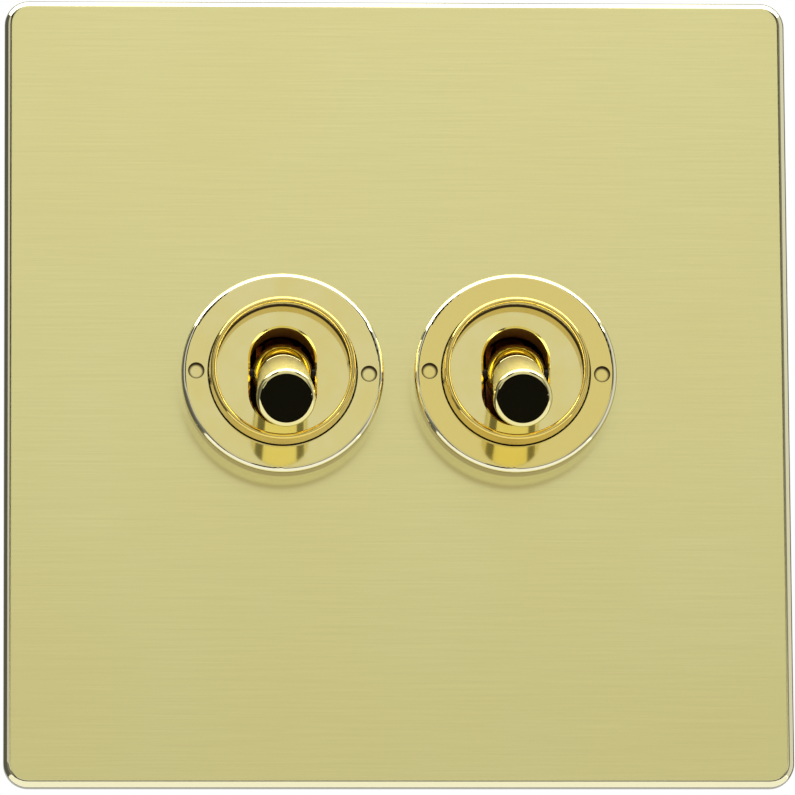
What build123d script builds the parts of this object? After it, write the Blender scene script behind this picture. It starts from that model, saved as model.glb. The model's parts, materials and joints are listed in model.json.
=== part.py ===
"""A two gang toggle light switch with a brushed brass plate.

Millimetres. The wall is the plane y = 0, the front faces -Y, the switch cases sit behind
the wall in +Y, and +Z is up. Both dollies rest tilted down.
"""

import os
from math import cos, radians, sin, sqrt

from build123d import *

os.makedirs("parts", exist_ok=True)

# Front plate and the frame that spaces it off the wall.
plate_width = 86.0
plate_height = 87.5
plate_thickness = 2.0
plate_corner = 2.7
plate_edge = 0.85
plate_hole_clearance = 0.2
frame_depth = 3.3
frame_inset = 1.2
frame_wall = 3.2
frame_corner = 1.6
frame_inner_corner = 1.0
gang_pitch = 25.4
gang_rise = 1.0

# Steel yoke behind the plate and the screws into the wall box.
yoke_gap = 0.6
yoke_thickness = 1.2
yoke_corner = 3.0
lip_height = 1.6
lip_thickness = 1.0
lip_setback = 6.0
box_centres = 60.3
fixing_radius = 1.75
fixing_waist = 1.6
fixing_head_radius = 3.4
fixing_head_height = 1.8
fixing_head_round = 0.5
fixing_reach = 21.0
fixing_clearance = 0.25
adjusting_slot = 7.0
drive_slot = 0.9
drive_turn = 20.0
earth_setback = 9.75

# Ring nut that clamps the plate.
ring_radius = 11.03
ring_height = 5.3
ring_fillet = 0.55
pin_hole_radius = 0.9
pin_hole_circle = 9.4
pin_hole_depth = 0.65
pin_hole_turn = -1.0

# Bush: a threaded tube whose end stands proud of the ring nut around a slotted disc.
bush_radius = 8.1
rim_rise = 2.7
rim_thickness = 0.62
rim_lean = 0.2
disc_drop = 0.2
disc_thickness = 4.9
slot_width = 7.1
slot_length = 10.7
slot_drop = 0.35
slot_chamfer = 0.2
bush_bore = 6.4
flange_radius = 9.5
flange_thickness = 1.2
flange_clearance = 0.1
thread_clearance = 0.1

# Dolly: tip, shank, ball on its pin, and the tail that drives the rocker.
pivot_drop = 1.1
dolly_tilt = 21.0
dolly_reach = 15.2
tip_radius = 3.2
tip_round = 0.52
shank_radius = 2.8
groove_reach = 4.1
groove_width = 0.24
groove_depth = 0.12
ball_radius = 3.3
tail_radius = 2.2
tail_reach = 10.5
tail_bore = 1.35
tail_bore_start = 3.2
pin_radius = 0.75
pin_clearance = 0.05
pin_inset = 0.3

# Plunger, spring and rocking contact.
nose_radius = 1.3
nose_lead = 0.7
plunger_length = 4.1
seat_gap = 0.25
spring_wire = 0.2
spring_turns = 5.5
spring_clearance = 0.1
rocker_tilt = 7.0
rocker_thickness = 1.0
rocker_width = 5.0
saddle_half = 5.2
saddle_back_inset = 0.2
wing_drop = 1.7
wing_half = 9.8
front_ramp = 1.8
rear_ramp = 1.3
fulcrum_radius = 0.6
fulcrum_clearance = 0.05
fulcrum_depth = 1.25
contact_radius = 1.2
contact_height = 0.7
contact_round = 0.4
contact_arm = 8.6
contact_gap = 0.15
fixed_height = 0.4
seat_height = 3.2
post_height = 2.2
post_width = 3.0
post_clearance = 0.1
foot_thickness = 0.8

# Switch case, bracket and terminals.
case_width = 21.0
case_height = 31.0
case_corner = 1.5
case_base = 2.0
cavity_width = 10.4
cavity_height = 24.0
cavity_corner = 1.0
barrier_thickness = 1.4
barrier_inset = 2.5
bracket_thickness = 0.8
bracket_reach = 9.0
hook_width = 9.0
hook_depth = 0.9
hook_clearance = 0.1
terminal_spacing = 9.5
terminal_width = 8.0
terminal_height = 6.0
terminal_length = 8.0
terminal_corner = 0.5
wire_radius = 1.6
wire_depth = 6.5
clamp_radius = 1.25
clamp_clearance = 0.05
clamp_setback = 3.9
clamp_lift = 0.2
clamp_stand = 1.8
clamp_head_radius = 2.1
clamp_head_height = 1.4
clamp_head_round = 0.3
clamp_slot = 0.7
clamp_turn = 35.0
nut_across = 19.6
nut_thickness = 1.4
washer_radius = 9.7
washer_thickness = 0.5
washer_teeth = 12
tooth_gap = 1.0
tooth_depth = 0.6

# The yoke fills the inside of the frame, and the earth block keeps its distance from the lower edge.
frame_opening_width = plate_width - 2 * frame_inset - 2 * frame_wall
frame_opening_height = plate_height - 2 * frame_inset - 2 * frame_wall
yoke_width = frame_opening_width - 2 * yoke_gap
yoke_height = frame_opening_height - 2 * yoke_gap
earth_drop = yoke_height / 2 - earth_setback

# Levels along Y worked out from the sizes above.
plate_back = -frame_depth
plate_front = plate_back - plate_thickness
ring_face = plate_front - ring_height
rim_crest = ring_face - rim_rise
disc_face = ring_face + disc_drop
disc_back = disc_face + disc_thickness
pivot_y = ring_face + pivot_drop
yoke_front = -yoke_thickness
washer_front = yoke_front - washer_thickness
flange_front = bracket_thickness
flange_back = flange_front + flange_thickness
nose_reach = flange_back + nose_lead - pivot_y
saddle_floor = pivot_y + nose_reach + nose_radius + seat_gap
fulcrum_y = saddle_floor + fulcrum_depth

# The saddle is an arc that keeps the same gap to the plunger at mid swing and at both ends.
swing_y = pivot_y + nose_reach * cos(radians(dolly_tilt)) - fulcrum_y
swing_z = nose_reach * sin(radians(dolly_tilt))
reach = fulcrum_depth + nose_radius + seat_gap
saddle_arm = (reach**2 - swing_y**2 - swing_z**2) / (
    2 * (swing_y * cos(radians(rocker_tilt)) - swing_z * sin(radians(rocker_tilt)) + reach)
)
saddle_radius = saddle_arm - fulcrum_depth
saddle_lip = sqrt(saddle_radius**2 - saddle_half**2) - saddle_radius - fulcrum_depth
wing_front = saddle_lip + wing_drop
wing_rear = wing_front + rocker_thickness
contact_face = wing_rear + contact_height
fixed_face = (
    fulcrum_y
    + contact_face * cos(radians(rocker_tilt))
    + (contact_arm + contact_radius / 2) * sin(radians(rocker_tilt))
    + contact_gap
)
case_floor = fixed_face + post_height
case_back = case_floor + case_base
terminal_back = case_back + terminal_length


def level(y):
    """Plane across the switch at depth y, facing the front."""
    return Plane.XZ.offset(-y)


def side_plane(x, y, z, turn=0.0):
    """Plane of the Y and Z axes through a point, turned about X."""
    across = (0, cos(radians(turn)), sin(radians(turn)))
    return Plane(origin=(x, y, z), x_dir=across, z_dir=(1, 0, 0))


def axial_plane(x, z):
    """Plane through a toggle's axis: local x is the radius and local y the depth."""
    return Plane(origin=(x, 0, z), x_dir=(1, 0, 0), z_dir=(0, 0, 1))


def save(piece, name):
    """Label a finished piece and write it out."""
    piece.part.label = name
    export_step(piece.part, f"parts/{name}.step")


def clamp_screw(clamp, half):
    """Screw along a terminal's clamp hole, backed out so that the wire hole is clear."""
    head = half + clamp_stand
    with BuildPart() as screw:
        with BuildSketch(clamp.offset(wire_radius + clamp_lift)):
            Circle(clamp_radius)
        extrude(amount=head - wire_radius - clamp_lift)
        with BuildSketch(clamp.offset(head)):
            Circle(clamp_head_radius)
        extrude(amount=clamp_head_height)
        crown = screw.faces().sort_by(Axis(clamp.origin, clamp.z_dir))[-1]
        fillet(crown.edges(), clamp_head_round)
        with BuildSketch(clamp.offset(head + clamp_head_height)):
            Rectangle(3 * clamp_head_radius, clamp_slot, rotation=clamp_turn)
        extrude(amount=-clamp_slot, mode=Mode.SUBTRACT)
    return screw


gangs = (("left", -1), ("right", 1))
gang_spots = [(side * gang_pitch / 2, gang_rise) for _, side in gangs]
box_spots = [(-box_centres / 2, 0), (box_centres / 2, 0)]

# Brass front plate with a softly rounded, polished edge.
with BuildPart() as front_plate:
    with BuildSketch(level(plate_back)):
        RectangleRounded(plate_width, plate_height, plate_corner)
        with Locations(*gang_spots):
            Circle(bush_radius + plate_hole_clearance, mode=Mode.SUBTRACT)
    extrude(amount=plate_thickness)
    fillet(front_plate.faces().sort_by(Axis.Y)[0].outer_wire().edges(), plate_edge)
save(front_plate, "front_plate")

# Moulded frame bonded behind the plate and set in from its edge.
with BuildPart() as backing_frame:
    with BuildSketch(level(0)):
        RectangleRounded(plate_width - 2 * frame_inset, plate_height - 2 * frame_inset, frame_corner)
        RectangleRounded(
            frame_opening_width, frame_opening_height, frame_inner_corner, mode=Mode.SUBTRACT
        )
    extrude(amount=frame_depth)
save(backing_frame, "backing_frame")

# Steel yoke with turned lips at top and bottom.
with BuildPart() as mounting_yoke:
    with BuildSketch(level(0)):
        RectangleRounded(yoke_width, yoke_height, yoke_corner)
        with Locations(*gang_spots):
            Circle(bush_radius + thread_clearance, mode=Mode.SUBTRACT)
        with Locations(box_spots[0]):
            Circle(fixing_radius + fixing_clearance, mode=Mode.SUBTRACT)
        with Locations(box_spots[1]):
            SlotOverall(
                adjusting_slot,
                2 * (fixing_radius + fixing_clearance),
                rotation=90,
                mode=Mode.SUBTRACT,
            )
    extrude(amount=yoke_thickness)
    with BuildSketch(level(yoke_front)):
        with GridLocations(0, yoke_height - lip_thickness, 1, 2):
            Rectangle(yoke_width - 2 * lip_setback, lip_thickness)
    extrude(amount=lip_height)
save(mounting_yoke, "mounting_yoke")

# Two slotted pan head screws, waisted where they pass the yoke, into the lugs of the wall box.
with BuildPart() as fixing_screws:
    with BuildSketch(level(yoke_front)):
        with Locations(*box_spots):
            Circle(fixing_head_radius)
    extrude(amount=fixing_head_height)
    fillet(fixing_screws.faces().filter_by(Axis.Y).group_by(Axis.Y)[0].edges(), fixing_head_round)
    with BuildSketch(level(yoke_front)):
        with Locations(*box_spots):
            Circle(fixing_waist)
    extrude(amount=yoke_front)
    with BuildSketch(level(0)):
        with Locations(*box_spots):
            Circle(fixing_radius)
    extrude(amount=-fixing_reach)
    with BuildSketch(level(yoke_front - fixing_head_height)):
        with Locations(*box_spots):
            Rectangle(drive_slot, 3 * fixing_head_radius, rotation=drive_turn)
    extrude(amount=-drive_slot, mode=Mode.SUBTRACT)
save(fixing_screws, "fixing_screws")

# Earth block riveted to the yoke, with its wire hole from the rear and its clamp screw below.
earth_clamp = Plane(
    origin=(0, terminal_length - clamp_setback, -earth_drop), x_dir=(1, 0, 0), z_dir=(0, 0, -1)
)
with BuildPart() as earth_terminal:
    with BuildSketch(level(terminal_length)):
        with Locations((0, -earth_drop)):
            RectangleRounded(terminal_width, terminal_height, terminal_corner)
    extrude(amount=terminal_length)
    with BuildSketch(level(terminal_length)):
        with Locations((0, -earth_drop)):
            Circle(wire_radius)
    extrude(amount=wire_depth, mode=Mode.SUBTRACT)
    with BuildSketch(earth_clamp):
        Circle(clamp_radius + clamp_clearance)
    extrude(amount=terminal_height, mode=Mode.SUBTRACT)
save(earth_terminal, "earth_terminal")

earth_screw = clamp_screw(earth_clamp, terminal_height / 2)
save(earth_screw, "earth_screw")

for gang, side in gangs:
    gx = side * gang_pitch / 2
    gz = gang_rise
    axis = Axis((gx, 0, gz), (0, 1, 0))

    # Ring nut: turned brass with two blind holes for a pin spanner.
    with BuildPart() as ring_nut:
        with BuildSketch(axial_plane(gx, gz)):
            with BuildLine():
                Polyline(
                    (bush_radius + thread_clearance, plate_front),
                    (ring_radius, plate_front),
                    (ring_radius, ring_face),
                    (bush_radius + thread_clearance, ring_face),
                    close=True,
                )
            make_face()
        revolve(axis=axis)
        rims = ring_nut.edges().filter_by(GeomType.CIRCLE).group_by(Axis.Y)[0]
        fillet(rims.sort_by(SortBy.RADIUS)[-1], ring_fillet)
        with BuildSketch(level(ring_face)):
            with Locations((gx, gz)):
                with PolarLocations(pin_hole_circle, 2, start_angle=pin_hole_turn):
                    Circle(pin_hole_radius)
        extrude(amount=-pin_hole_depth, mode=Mode.SUBTRACT)
    save(ring_nut, f"{gang}_ring_nut")

    # Bush: threaded tube, proud rim that leans in a little, slotted disc and rear flange in one piece.
    rim_bore = bush_radius - rim_thickness
    crest = rim_thickness / 2
    crest_out = bush_radius - rim_lean
    crest_in = rim_bore - rim_lean
    with BuildPart() as bush:
        with BuildSketch(axial_plane(gx, gz)):
            with BuildLine():
                Line((0, disc_face), (rim_bore, disc_face))
                Line((rim_bore, disc_face), (crest_in, rim_crest + crest))
                ThreePointArc(
                    (crest_in, rim_crest + crest),
                    (crest_in + crest, rim_crest),
                    (crest_out, rim_crest + crest),
                )
                Polyline(
                    (crest_out, rim_crest + crest),
                    (bush_radius, ring_face),
                    (bush_radius, flange_front),
                    (flange_radius, flange_front),
                    (flange_radius, flange_back),
                    (bush_bore, flange_back),
                    (bush_bore, disc_back),
                    (0, disc_back),
                    (0, disc_face),
                )
            make_face()
        revolve(axis=axis)
        with BuildSketch(level(disc_back)):
            with Locations((gx, gz - slot_drop)):
                SlotOverall(slot_length, slot_width, rotation=90)
        extrude(amount=disc_thickness, mode=Mode.SUBTRACT)
        mouth = bush.faces().filter_by(Axis.Y).sort_by_distance((gx, disc_face, gz))[0]
        chamfer(mouth.inner_wires()[0].edges(), slot_chamfer)
        with BuildSketch(side_plane(gx, pivot_y, gz)):
            Circle(pin_radius)
        extrude(amount=flange_radius, both=True, mode=Mode.SUBTRACT)
    save(bush, f"{gang}_bush")

    # Pivot pin across the slot, hidden inside the ring nut.
    with BuildPart() as pivot_pin:
        with BuildSketch(side_plane(gx, pivot_y, gz)):
            Circle(pin_radius)
        extrude(amount=bush_radius - pin_inset, both=True)
    save(pivot_pin, f"{gang}_pivot_pin")

    # Dolly: flat ended lever with a joint groove, ball and hollow tail turned in one piece.
    lever = side_plane(gx, pivot_y, gz, dolly_tilt)
    lever_axis = Axis(lever.origin, lever.x_dir)
    neck = sqrt(ball_radius**2 - shank_radius**2)
    root = sqrt(ball_radius**2 - tail_radius**2)
    bevel = tip_round * (1 - sqrt(0.5))
    with BuildPart() as dolly:
        with BuildSketch(lever):
            with BuildLine():
                Line((-dolly_reach, 0), (-dolly_reach, tip_radius - tip_round))
                ThreePointArc(
                    (-dolly_reach, tip_radius - tip_round),
                    (bevel - dolly_reach, tip_radius - bevel),
                    (tip_round - dolly_reach, tip_radius),
                )
                Polyline(
                    (tip_round - dolly_reach, tip_radius),
                    (-groove_reach - groove_width / 2, shank_radius),
                    (-groove_reach, shank_radius - groove_depth),
                    (-groove_reach + groove_width / 2, shank_radius),
                    (-neck, shank_radius),
                )
                ThreePointArc((-neck, shank_radius), (0, ball_radius), (root, tail_radius))
                Polyline(
                    (root, tail_radius),
                    (tail_reach, tail_radius),
                    (tail_reach, tail_bore),
                    (tail_bore_start, tail_bore),
                    (tail_bore_start, 0),
                    (-dolly_reach, 0),
                )
            make_face()
        revolve(axis=lever_axis)
        with BuildSketch(lever):
            Circle(pin_radius + pin_clearance)
        extrude(amount=2 * ball_radius, both=True, mode=Mode.SUBTRACT)
    save(dolly, f"{gang}_dolly")

    # Round nosed plunger in the tail, pushed by its spring onto the rocker.
    plunger_start = nose_reach - plunger_length
    nose = nose_radius * sqrt(0.5)
    with BuildPart() as plunger:
        with BuildSketch(lever):
            with BuildLine():
                Polyline(
                    (nose_reach + nose_radius, 0),
                    (plunger_start, 0),
                    (plunger_start, nose_radius),
                    (nose_reach, nose_radius),
                )
                ThreePointArc(
                    (nose_reach, nose_radius),
                    (nose_reach + nose, nose),
                    (nose_reach + nose_radius, 0),
                )
            make_face()
        revolve(axis=lever_axis)
    save(plunger, f"{gang}_plunger")

    coil_start = tail_bore_start + spring_wire
    coil_length = plunger_start - tail_bore_start - 2 * spring_wire
    with BuildPart() as plunger_spring:
        with BuildLine() as coil:
            Helix(
                pitch=coil_length / spring_turns,
                height=coil_length,
                radius=tail_bore - spring_clearance - spring_wire,
                center=lever.from_local_coords((coil_start, 0, 0)),
                direction=lever.x_dir,
            )
        with BuildSketch(Plane(origin=coil.line @ 0, z_dir=coil.line % 0)):
            Circle(spring_wire)
        sweep(path=coil.line, is_frenet=True)
    save(plunger_spring, f"{gang}_plunger_spring")

    # Rocking contact: a saddle for the plunger, a groove on the fulcrum and two wings.
    rock = side_plane(gx, fulcrum_y, gz, -rocker_tilt)
    arc_x = -fulcrum_depth - saddle_radius
    back_radius = saddle_radius + rocker_thickness
    back_half = saddle_half - saddle_back_inset
    back_lip = arc_x + sqrt(back_radius**2 - back_half**2)
    with BuildPart() as rocker_contact:
        with BuildSketch(rock):
            with BuildLine():
                ThreePointArc((saddle_lip, -saddle_half), (-fulcrum_depth, 0), (saddle_lip, saddle_half))
                Polyline(
                    (saddle_lip, saddle_half),
                    (wing_front, saddle_half + front_ramp),
                    (wing_front, wing_half),
                    (wing_rear, wing_half),
                    (wing_rear, saddle_half + rear_ramp),
                    (back_lip, back_half),
                )
                ThreePointArc((back_lip, back_half), (arc_x + back_radius, 0), (back_lip, -back_half))
                Polyline(
                    (back_lip, -back_half),
                    (wing_rear, -saddle_half - rear_ramp),
                    (wing_rear, -wing_half),
                    (wing_front, -wing_half),
                    (wing_front, -saddle_half - front_ramp),
                    (saddle_lip, -saddle_half),
                )
            make_face()
            Circle(fulcrum_radius + fulcrum_clearance, mode=Mode.SUBTRACT)
        extrude(amount=rocker_width / 2, both=True)
    save(rocker_contact, f"{gang}_rocker_contact")

    # Silver contacts: two on the rocker and the two fixed ones that they meet.
    with BuildPart() as moving_contacts:
        for end in (-1, 1):
            spot = rock.from_local_coords((wing_rear, end * contact_arm, 0))
            with BuildSketch(Plane(origin=spot, x_dir=(1, 0, 0), z_dir=rock.x_dir)):
                Circle(contact_radius)
            extrude(amount=contact_height)
        tips = moving_contacts.faces().filter_by(GeomType.PLANE)
        tips = [tip for tip in tips if tip.normal_at().dot(rock.x_dir) > 0]
        fillet([edge for tip in tips for edge in tip.edges()], contact_round)
    save(moving_contacts, f"{gang}_moving_contacts")

    with BuildPart() as fixed_contacts:
        with BuildSketch(level(fixed_face + fixed_height)):
            with Locations((gx, gz - contact_arm), (gx, gz + contact_arm)):
                Circle(contact_radius)
        extrude(amount=fixed_height)
    save(fixed_contacts, f"{gang}_fixed_contacts")

    # Brass terminals: each block has a wire hole from the rear and a clamp screw hole.
    clamp_y = terminal_back - clamp_setback
    common_clamp = Plane(origin=(gx, clamp_y, gz), x_dir=(0, 1, 0), z_dir=(side, 0, 0))
    upper_clamp = Plane(origin=(gx, clamp_y, gz + terminal_spacing), x_dir=(1, 0, 0), z_dir=(0, 0, 1))
    lower_clamp = Plane(origin=(gx, clamp_y, gz - terminal_spacing), x_dir=(1, 0, 0), z_dir=(0, 0, -1))

    with BuildPart() as common_terminal:
        with BuildSketch(level(terminal_back)):
            with Locations((gx, gz)):
                RectangleRounded(terminal_width, terminal_height, terminal_corner)
        extrude(amount=terminal_length)
        with BuildSketch(level(case_back)):
            with Locations((gx, gz)):
                Rectangle(post_width, 2 * fulcrum_radius)
        extrude(amount=case_base)
        with BuildSketch(side_plane(gx, fulcrum_y, gz)):
            Circle(fulcrum_radius)
            with Locations(((case_floor - fulcrum_y) / 2, 0)):
                Rectangle(case_floor - fulcrum_y, 2 * fulcrum_radius)
            with Locations((case_floor - fulcrum_y - foot_thickness / 2, 0)):
                Rectangle(foot_thickness, post_width)
        extrude(amount=rocker_width / 2, both=True)
        with BuildSketch(level(terminal_back)):
            with Locations((gx, gz)):
                Circle(wire_radius)
        extrude(amount=wire_depth, mode=Mode.SUBTRACT)
        with BuildSketch(common_clamp):
            Circle(clamp_radius + clamp_clearance)
        extrude(amount=terminal_width, mode=Mode.SUBTRACT)
    save(common_terminal, f"{gang}_common_terminal")

    for place, end, clamp in (("upper", 1, upper_clamp), ("lower", -1, lower_clamp)):
        with BuildPart() as line_terminal:
            with BuildSketch(level(terminal_back)):
                with Locations((gx, gz + end * terminal_spacing)):
                    RectangleRounded(terminal_width, terminal_height, terminal_corner)
            extrude(amount=terminal_length)
            with BuildSketch(level(case_back)):
                with Locations((gx, gz + end * contact_arm)):
                    Rectangle(post_width, 2 * fulcrum_radius)
            extrude(amount=case_base)
            with BuildSketch(level(case_floor)):
                with Locations((gx, gz + end * contact_arm)):
                    Rectangle(rocker_width, seat_height)
            extrude(amount=post_height - fixed_height)
            with BuildSketch(level(terminal_back)):
                with Locations((gx, gz + end * terminal_spacing)):
                    Circle(wire_radius)
            extrude(amount=wire_depth, mode=Mode.SUBTRACT)
            with BuildSketch(clamp):
                Circle(clamp_radius + clamp_clearance)
            extrude(amount=terminal_height, mode=Mode.SUBTRACT)
        save(line_terminal, f"{gang}_{place}_terminal")

    # One clamp screw to each terminal.
    common_screw = clamp_screw(common_clamp, terminal_width / 2)
    upper_screw = clamp_screw(upper_clamp, terminal_height / 2)
    lower_screw = clamp_screw(lower_clamp, terminal_height / 2)
    with BuildPart() as terminal_screws:
        add([common_screw.part, upper_screw.part, lower_screw.part])
    save(terminal_screws, f"{gang}_terminal_screws")

    # Moulded case: open front, floor with post slots, and barriers between the terminals.
    with BuildPart() as switch_case:
        with BuildSketch(level(case_back)):
            with Locations((gx, gz)):
                RectangleRounded(case_width, case_height, case_corner)
        extrude(amount=case_back - flange_front)
        with BuildSketch(level(case_floor)):
            with Locations((gx, gz)):
                RectangleRounded(cavity_width, cavity_height, cavity_corner)
        extrude(amount=case_floor - flange_front, mode=Mode.SUBTRACT)
        with BuildSketch(level(flange_back)):
            with Locations((gx, gz)):
                Circle(flange_radius + flange_clearance)
        extrude(amount=flange_thickness, mode=Mode.SUBTRACT)
        with BuildSketch(level(case_back)):
            with Locations((gx, gz), (gx, gz + contact_arm), (gx, gz - contact_arm)):
                Rectangle(post_width + 2 * post_clearance, 2 * (fulcrum_radius + post_clearance))
        extrude(amount=case_base, mode=Mode.SUBTRACT)
        with BuildSketch(level(terminal_back)):
            with Locations((gx, gz + terminal_spacing / 2), (gx, gz - terminal_spacing / 2)):
                Rectangle(case_width - 2 * barrier_inset, barrier_thickness)
        extrude(amount=terminal_length)
        with BuildSketch(level(bracket_reach + hook_clearance)):
            with Locations((gx, gz + case_height / 2), (gx, gz - case_height / 2)):
                Rectangle(hook_width + 2 * hook_clearance, 2 * (hook_depth + hook_clearance))
        extrude(amount=bracket_thickness + 2 * hook_clearance, mode=Mode.SUBTRACT)
    save(switch_case, f"{gang}_switch_case")

    # Folded steel bracket that holds the case up to the bush flange.
    with BuildPart() as case_bracket:
        with BuildSketch(level(bracket_thickness)):
            with Locations((gx, gz)):
                RectangleRounded(case_width, case_height + 2 * bracket_thickness, case_corner)
                Circle(bush_radius + thread_clearance, mode=Mode.SUBTRACT)
        extrude(amount=bracket_thickness)
        with BuildSketch(level(bracket_reach)):
            for end in (-1, 1):
                with Locations((gx, gz + end * (case_height + bracket_thickness) / 2)):
                    Rectangle(hook_width, bracket_thickness)
        extrude(amount=bracket_reach)
        with BuildSketch(level(bracket_reach)):
            for end in (-1, 1):
                with Locations((gx, gz + end * (case_height - hook_depth) / 2)):
                    Rectangle(hook_width, hook_depth)
        extrude(amount=bracket_thickness)
    save(case_bracket, f"{gang}_case_bracket")

    # Thin hexagon nut and washer that hold the bush to the yoke.
    with BuildPart() as lock_nut:
        with BuildSketch(level(washer_front)):
            with Locations((gx, gz)):
                RegularPolygon(nut_across / 2, 6, major_radius=False, rotation=30)
                Circle(bush_radius + thread_clearance, mode=Mode.SUBTRACT)
        extrude(amount=nut_thickness)
    save(lock_nut, f"{gang}_lock_nut")

    with BuildPart() as lock_washer:
        with BuildSketch(level(yoke_front)):
            with Locations((gx, gz)):
                Circle(washer_radius)
                Circle(bush_radius + thread_clearance, mode=Mode.SUBTRACT)
                with PolarLocations(washer_radius, washer_teeth):
                    Rectangle(2 * tooth_depth, tooth_gap, mode=Mode.SUBTRACT)
        extrude(amount=washer_thickness)
    save(lock_washer, f"{gang}_lock_washer")
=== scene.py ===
# %% [markdown]
# # A two gang toggle light switch in brass
#
# The switch is a satin brass plate with two polished toggles. The solids come from the CAD frame at their
# real size, in metres, with the wall at y = 0, the front facing -Y and +Z up. This lesson gives every piece
# its finish, cuts the screw threads that the solids leave plain, and sets up the light and the camera.

# %% Load the frame
import json
import math

import bmesh
import bpy
from mathutils import Matrix, Vector


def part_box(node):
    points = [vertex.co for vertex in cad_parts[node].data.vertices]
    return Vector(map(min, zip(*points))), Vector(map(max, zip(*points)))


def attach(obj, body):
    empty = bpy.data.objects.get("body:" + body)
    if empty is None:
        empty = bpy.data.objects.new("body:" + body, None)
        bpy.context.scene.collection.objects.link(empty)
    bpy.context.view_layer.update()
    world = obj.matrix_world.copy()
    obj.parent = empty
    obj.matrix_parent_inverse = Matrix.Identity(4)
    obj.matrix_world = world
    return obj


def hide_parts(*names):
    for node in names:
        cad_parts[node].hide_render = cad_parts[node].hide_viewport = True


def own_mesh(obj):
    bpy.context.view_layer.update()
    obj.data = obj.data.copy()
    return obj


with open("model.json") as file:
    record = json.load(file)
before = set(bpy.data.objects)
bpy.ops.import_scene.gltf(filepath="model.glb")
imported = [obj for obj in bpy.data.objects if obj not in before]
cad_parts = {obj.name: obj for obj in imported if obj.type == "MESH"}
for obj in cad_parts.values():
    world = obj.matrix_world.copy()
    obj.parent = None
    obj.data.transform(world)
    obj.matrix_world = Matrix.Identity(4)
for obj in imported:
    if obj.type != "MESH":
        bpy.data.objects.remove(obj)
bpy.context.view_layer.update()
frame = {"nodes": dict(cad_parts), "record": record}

# %% [markdown]
# ## Camera
#
# The photograph was taken square on, from a little below and a touch to the left, so that the undersides of
# the toggles show. A camera can be aimed with a constraint, but a fixed matrix is easier to read: the view
# direction comes from two angles, the roll turns it, and a long lens keeps the plate's sides almost parallel.

# %% Aim the camera
MM = 0.001
IMAGE_SIDE = 795
view_azimuth = math.radians(-2.458)
view_elevation = math.radians(-11.028)
view_roll = math.radians(-0.36)
view_distance = 1000 * MM
view_target = Vector((0.233, 0.0, 0.267)) * MM
pixels_per_mm = 9.096

toward_camera = Vector((
    math.sin(view_azimuth) * math.cos(view_elevation),
    -math.cos(view_azimuth) * math.cos(view_elevation),
    math.sin(view_elevation),
))
camera = bpy.data.objects.new("camera", bpy.data.cameras.new("camera"))
camera.data.sensor_width = 36.0
camera.data.lens = camera.data.sensor_width * pixels_per_mm * view_distance / MM / IMAGE_SIDE
camera.data.clip_start = 0.01
aim = (-toward_camera).to_track_quat("-Z", "Y").to_matrix() @ Matrix.Rotation(view_roll, 3, "Z")
camera.matrix_world = Matrix.LocRotScale(view_target + view_distance * toward_camera, aim, None)
bpy.context.scene.collection.objects.link(camera)
bpy.context.scene.camera = camera
bpy.context.scene.view_settings.view_transform = "Standard"
bpy.context.scene.cycles.glossy_bounces = 12
print("lens", round(camera.data.lens, 1), "mm at", round(view_distance, 3), "m")

# %% [markdown]
# ## Light
#
# Polished metal has hardly any colour of its own: it shows what stands around it. So the set is a light tent
# of panels: bright ones above and below, mostly dim ones at the sides, and in front some pale ones over
# a dark one. Where one panel ends and the next begins decides where the lines along the rounded edges run.
# The panels could be glowing meshes, but area lights give less noise, and they can be hidden from the camera.


# %% Panels of the tent
def add_panel(name, centre, facing, width, height, brightness, tint=(1, 1, 1)):
    """Area light as a panel, sized in metres, that shows in reflections but not to the camera."""
    light = bpy.data.lights.new(name, "AREA")
    light.shape = "RECTANGLE"
    light.size = width
    light.size_y = height
    light.energy = math.pi * brightness * width * height
    light.color = tint
    panel = bpy.data.objects.new(name, light)
    turn = Vector(facing).to_track_quat("-Z", "Y")
    panel.matrix_world = Matrix.LocRotScale(Vector(centre), turn, None)
    panel.visible_camera = False
    bpy.context.scene.collection.objects.link(panel)
    return panel


warm = (1.0, 0.985, 0.92)
tent = [
    add_panel("front_dim_panel", (0.02, -0.70, -0.1845), (0, 1, 0), 0.56, 0.197, 0.72, warm),
    add_panel("front_dark_panel", (0.02, -0.60, -0.34), (0, 1, 0), 0.90, 0.16, 0.006),
    add_panel("front_low_panel", (0.02, -0.70, 0.006), (0, 1, 0), 0.90, 0.184, 0.69, warm),
    add_panel("front_mid_panel", (0.02, -0.70, 0.1395), (0, 1, 0), 0.40, 0.083, 0.80),
    add_panel("front_high_panel", (0.02, -0.63, 0.42), (0, 1, -0.35), 0.40, 0.50, 0.88),
    add_panel("top_panel", (0, -0.15, 0.50), (0, 0, -1), 1.24, 0.7, 3.4),
    add_panel("left_panel", (-0.55, -0.60, 0.245), (1, 0, 0), 0.6, 0.43, 0.6),
    add_panel("left_low_panel", (-0.55, -0.69, -0.21), (1, 0, 0), 0.78, 0.48, 0.20),
    add_panel("left_far_panel", (-0.55, 0.06, 0.05), (1, 0, 0), 0.7, 0.8, 0.10),
    add_panel("right_near_panel", (0.55, -0.765, 0.0), (-1, 0, 0), 0.63, 0.9, 0.22),
    add_panel("right_panel", (0.55, -0.10, 0.05), (-1, 0, 0), 0.7, 0.8, 0.72),
    add_panel("lower_panel", (0, 0.035, -0.36), (0, 0, 1), 1.24, 1.13, 0.98),
    add_panel("rear_panel", (0, 0.80, 0.25), (0, -1, -0.2), 1.6, 1.2, 0.45),
]
print("tent panels:", [panel.name for panel in tent])


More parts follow.
